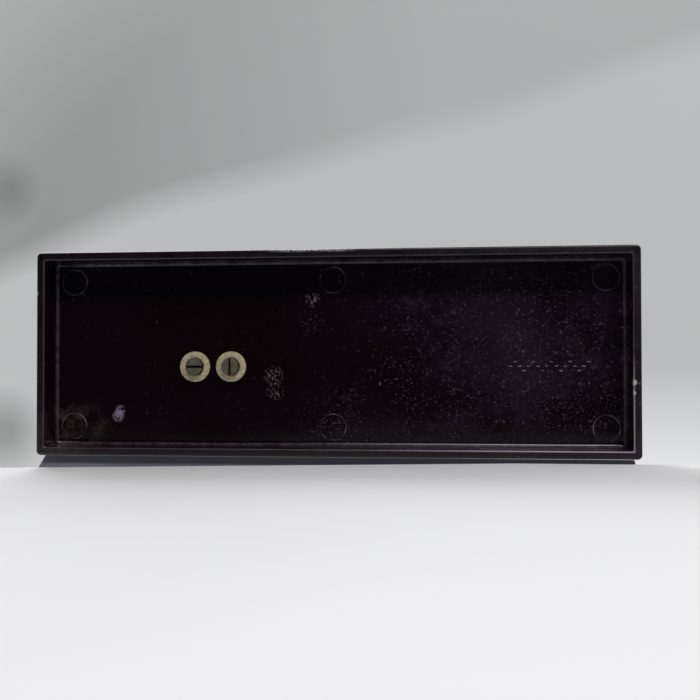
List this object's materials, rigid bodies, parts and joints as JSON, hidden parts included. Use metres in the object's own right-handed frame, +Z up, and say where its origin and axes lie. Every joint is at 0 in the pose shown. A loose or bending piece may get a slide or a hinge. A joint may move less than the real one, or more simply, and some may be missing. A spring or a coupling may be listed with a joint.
{
  "type": "alarm clock",
  "caption": "Wind-up alarm clock: round drum case with domed glass on one end of a long hollow plinth, with movement, bell, hammer, keys and setting knobs.",
  "frame": {"origin": "middle of the plinth's underside, on the surface that the clock stands on", "axes": "+X along the plinth to the dial's right, +Y from the dial to the back, +Z up"},
  "size_m": [0.2, 0.0686, 0.1146],
  "materials": {
    "black_plastic": "glossy moulded, aged",
    "black_lacquer": "gloss lacquer",
    "aged_steel": "aged nickel plating",
    "brass": "polished",
    "movement_brass": "stamped, satin",
    "steel": "satin",
    "blued_steel": "blued spring",
    "cream_paint": "matt dial enamel",
    "hand_black": "black enamel",
    "hand_red": "red enamel",
    "clear_glass": "clear, domed"
  },
  "bodies": {
    "case": {"plinth": "black_plastic", "base_washer_left": "aged_steel", "base_washer_right": "aged_steel", "base_screw_left": "aged_steel", "base_screw_right": "aged_steel", "case_foot": "black_lacquer", "foot_nut_plate": "steel", "drum_case": "black_lacquer", "front_bezel": "brass", "glass": "clear_glass", "dial_ring": "brass", "dial": "cream_paint", "back_cover": "brass", "back_cover_screw_1": "steel", "back_cover_screw_2": "steel", "back_cover_screw_3": "steel", "alarm_bell": "brass", "bell_nut": "steel", "front_plate": "movement_brass", "back_plate": "movement_brass", "pillar_nut_1": "steel", "pillar_nut_2": "steel", "pillar_nut_3": "steel", "pillar_nut_4": "steel", "time_mainspring": "blued_steel", "alarm_mainspring": "blued_steel", "hairspring": "blued_steel", "stop_button_bush": "brass", "stop_button_spring": "steel"},
    "minute": {"centre_arbor": "steel", "minute_hand": "hand_black", "hand_set_knob": "brass"},
    "minute_wheel": {"minute_wheel": "movement_brass"},
    "hour": {"hour_wheel": "movement_brass", "hour_hand": "hand_black"},
    "alarm_setting": {"alarm_wheel": "movement_brass", "alarm_hand": "hand_red"},
    "alarm_setter": {"alarm_set_arbor": "steel", "alarm_set_knob": "brass"},
    "fourth": {"fourth_wheel": "movement_brass"},
    "third": {"third_wheel": "movement_brass"},
    "centre": {"centre_wheel": "movement_brass"},
    "escape": {"escape_wheel": "movement_brass"},
    "time_great": {"time_great_wheel": "movement_brass"},
    "time_winding": {"time_winding_arbor": "steel", "time_key": "brass"},
    "time_click": {"time_click": "steel"},
    "alarm_great": {"alarm_great_wheel": "movement_brass"},
    "alarm_winding": {"alarm_winding_arbor": "steel", "alarm_key": "brass"},
    "alarm_click": {"alarm_click": "steel"},
    "alarm_escape": {"alarm_escape_wheel": "movement_brass"},
    "hammer": {"hammer": "steel"},
    "pallets": {"pallet_lever": "steel"},
    "balance": {"balance_wheel": "movement_brass"},
    "regulator": {"regulator_lever": "steel"},
    "stop_button": {"stop_button": "brass"},
    "stop_lever": {"stop_lever": "steel"}
  },
  "joints": [
    {"name": "minute_turn", "type": "hinge", "parent": "case", "child": "minute", "pos_m": [-0.04145, 0, 0.061], "axis": [0, 1, 0], "continuous": true},
    {"name": "minute_wheel_turn", "type": "hinge", "parent": "case", "child": "minute_wheel", "pos_m": [-0.05275, 0, 0.0569], "axis": [0, 1, 0], "continuous": true},
    {"name": "hour_turn", "type": "hinge", "parent": "case", "child": "hour", "pos_m": [-0.04145, 0, 0.061], "axis": [0, 1, 0], "continuous": true},
    {"name": "fourth_turn", "type": "hinge", "parent": "case", "child": "fourth", "pos_m": [-0.05115, 0, 0.0789], "axis": [0, 1, 0], "continuous": true},
    {"name": "third_turn", "type": "hinge", "parent": "case", "child": "third", "pos_m": [-0.03885, 0, 0.0756], "axis": [0, 1, 0], "continuous": true},
    {"name": "centre_turn", "type": "hinge", "parent": "case", "child": "centre", "pos_m": [-0.04145, 0, 0.061], "axis": [0, 1, 0], "continuous": true},
    {"name": "escape_turn", "type": "hinge", "parent": "case", "child": "escape", "pos_m": [-0.04805, 0, 0.0906], "axis": [0, 1, 0], "continuous": true},
    {"name": "time_great_turn", "type": "hinge", "parent": "case", "child": "time_great", "pos_m": [-0.02655, 0, 0.0506], "axis": [0, 1, 0], "continuous": true},
    {"name": "alarm_great_turn", "type": "hinge", "parent": "case", "child": "alarm_great", "pos_m": [-0.05995, 0, 0.0485], "axis": [0, 1, 0], "continuous": true},
    {"name": "alarm_escape_turn", "type": "hinge", "parent": "case", "child": "alarm_escape", "pos_m": [-0.06445, 0, 0.0655], "axis": [0, 1, 0], "continuous": true},
    {"name": "alarm_set_turn", "type": "hinge", "parent": "case", "child": "alarm_setting", "pos_m": [-0.04145, 0, 0.061], "axis": [0, 1, 0], "continuous": true},
    {"name": "alarm_setter_turn", "type": "hinge", "parent": "case", "child": "alarm_setter", "pos_m": [-0.02662, 0, 0.06889], "axis": [0, 1, 0], "continuous": true},
    {"name": "time_wind", "type": "hinge", "parent": "time_great", "child": "time_winding", "pos_m": [-0.02655, 0, 0.0506], "axis": [0, -1, 0], "range_deg": [0, 1710]},
    {"name": "alarm_wind", "type": "hinge", "parent": "alarm_great", "child": "alarm_winding", "pos_m": [-0.05995, 0, 0.0485], "axis": [0, -1, 0], "range_deg": [0, 1710]},
    {"name": "time_click_lift", "type": "hinge", "parent": "time_great", "child": "time_click", "pos_m": [-0.02175, 0, 0.04229], "axis": [0, 1, 0], "range_deg": [0, 12]},
    {"name": "alarm_click_lift", "type": "hinge", "parent": "alarm_great", "child": "alarm_click", "pos_m": [-0.06897, 0, 0.04522], "axis": [0, 1, 0], "range_deg": [0, 12]},
    {"name": "pallet_rock", "type": "hinge", "parent": "case", "child": "pallets", "pos_m": [-0.03905, 0, 0.092], "axis": [0, 1, 0], "range_deg": [-6, 6]},
    {"name": "balance_swing", "type": "hinge", "parent": "case", "child": "balance", "pos_m": [-0.02445, 0, 0.085], "axis": [0, 1, 0], "range_deg": [-150, 150], "stiffness_Nm_per_rad": 0.000012},
    {"name": "hammer_swing", "type": "hinge", "parent": "case", "child": "hammer", "pos_m": [-0.07195, 0, 0.0695], "axis": [0, 1, 0], "range_deg": [-4.5, 5]},
    {"name": "regulator_shift", "type": "hinge", "parent": "case", "child": "regulator", "pos_m": [-0.02445, 0, 0.085], "axis": [0, 1, 0], "range_deg": [-18, 18]},
    {"name": "stop_button_press", "type": "slide", "parent": "case", "child": "stop_button", "axis": [0, 0, -1], "range_m": [0, 0.003], "stiffness_N_per_m": 350, "springref_m": -0.001, "deforming": ["stop_button_spring"]},
    {"name": "stop_lever_turn", "type": "hinge", "parent": "case", "child": "stop_lever", "pos_m": [-0.05545, 0, 0.095], "axis": [0, 1, 0], "range_deg": [0, 13.1]}
  ],
  "couplings": [
    {"joint": "minute_wheel_turn", "follows": "minute_turn", "ratio": -0.33333},
    {"joint": "hour_turn", "follows": "minute_turn", "ratio": 0.083333},
    {"joint": "third_turn", "follows": "fourth_turn", "ratio": -0.13333},
    {"joint": "centre_turn", "follows": "fourth_turn", "ratio": 0.016667},
    {"joint": "escape_turn", "follows": "fourth_turn", "ratio": -8},
    {"joint": "time_great_turn", "follows": "fourth_turn", "ratio": -0.0027778},
    {"joint": "alarm_escape_turn", "follows": "alarm_great_turn", "ratio": -6},
    {"joint": "alarm_setter_turn", "follows": "alarm_set_turn", "ratio": -3},
    {"joint": "stop_lever_turn", "follows": "stop_button_press", "rad_per_m": 75.6}
  ]
}
